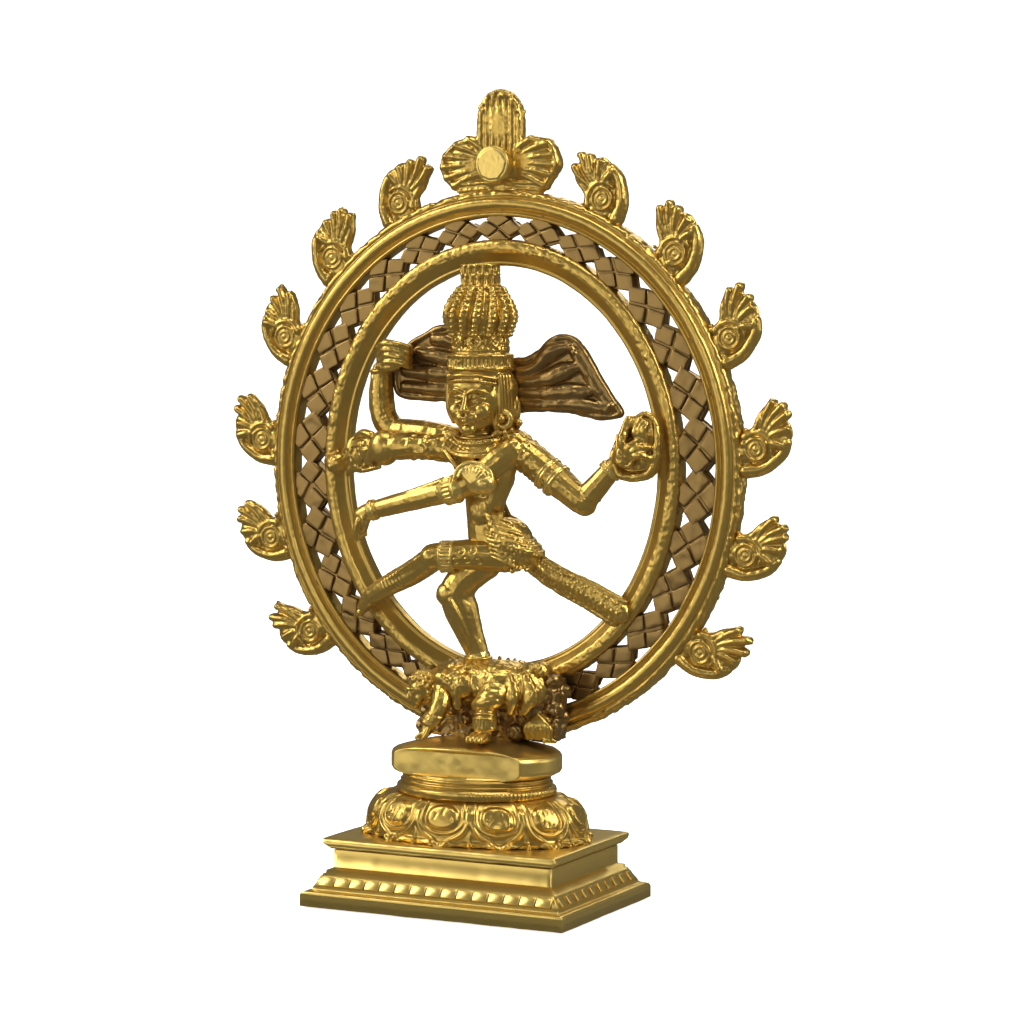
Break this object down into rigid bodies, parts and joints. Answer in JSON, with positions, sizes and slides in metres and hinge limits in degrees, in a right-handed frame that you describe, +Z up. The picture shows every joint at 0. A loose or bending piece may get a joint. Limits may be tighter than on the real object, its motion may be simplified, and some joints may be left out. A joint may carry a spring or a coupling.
{
  "type": "brass statue",
  "caption": "Small cast brass statue of a four-armed dancer poised on one leg inside an oval ring of flames, on a lotus and a stepped rectangular plinth.",
  "frame": {"origin": "centre of the plinth's underside, the face that the statue stands on", "axes": "+X to the viewer's right, -Y the way the dancer faces, +Z up"},
  "size_m": [0.1288, 0.0414, 0.165],
  "materials": {
    "cast_brass": "sand-cast, brushed, dark in the recesses",
    "filed_brass": "filed and polished bright",
    "dark_brass": "rough cast, darkened"
  },
  "bodies": {
    "root": {"plinth": "cast_brass", "plinth_slab": "filed_brass", "lotus": "cast_brass", "neck_mouldings": "cast_brass", "drum": "filed_brass", "outer_rail": "cast_brass", "ring_lattice": "dark_brass", "inner_rail": "cast_brass", "crest": "cast_brass", "crest_rosette": "filed_brass", "flame_left_1": "cast_brass", "flame_left_2": "cast_brass", "flame_left_3": "cast_brass", "flame_left_4": "cast_brass", "flame_left_5": "cast_brass", "flame_left_6": "cast_brass", "flame_right_1": "cast_brass", "flame_right_2": "cast_brass", "flame_right_3": "cast_brass", "flame_right_4": "cast_brass", "flame_right_5": "cast_brass", "flame_right_6": "cast_brass", "dwarf_body": "cast_brass", "dwarf_head": "cast_brass", "dwarf_arm": "cast_brass", "dwarf_leg": "cast_brass", "dwarf_drapery": "cast_brass", "ring_foot": "dark_brass", "hand_lug": "cast_brass", "torso": "cast_brass", "head": "cast_brass", "crown": "cast_brass", "hair_wing_left": "dark_brass", "hair_wing_right": "dark_brass", "necklace": "cast_brass", "chest_ornament": "filed_brass", "girdle": "cast_brass", "sash": "cast_brass", "standing_leg": "cast_brass", "raised_leg": "cast_brass", "knee_band": "filed_brass", "anklet": "filed_brass", "arm_drum": "cast_brass", "arm_abhaya": "cast_brass", "arm_gaja": "cast_brass", "arm_flame": "cast_brass", "hand_flame": "cast_brass", "armlets": "filed_brass", "bracelets": "filed_brass", "earring": "filed_brass"}
  },
  "joints": []
}
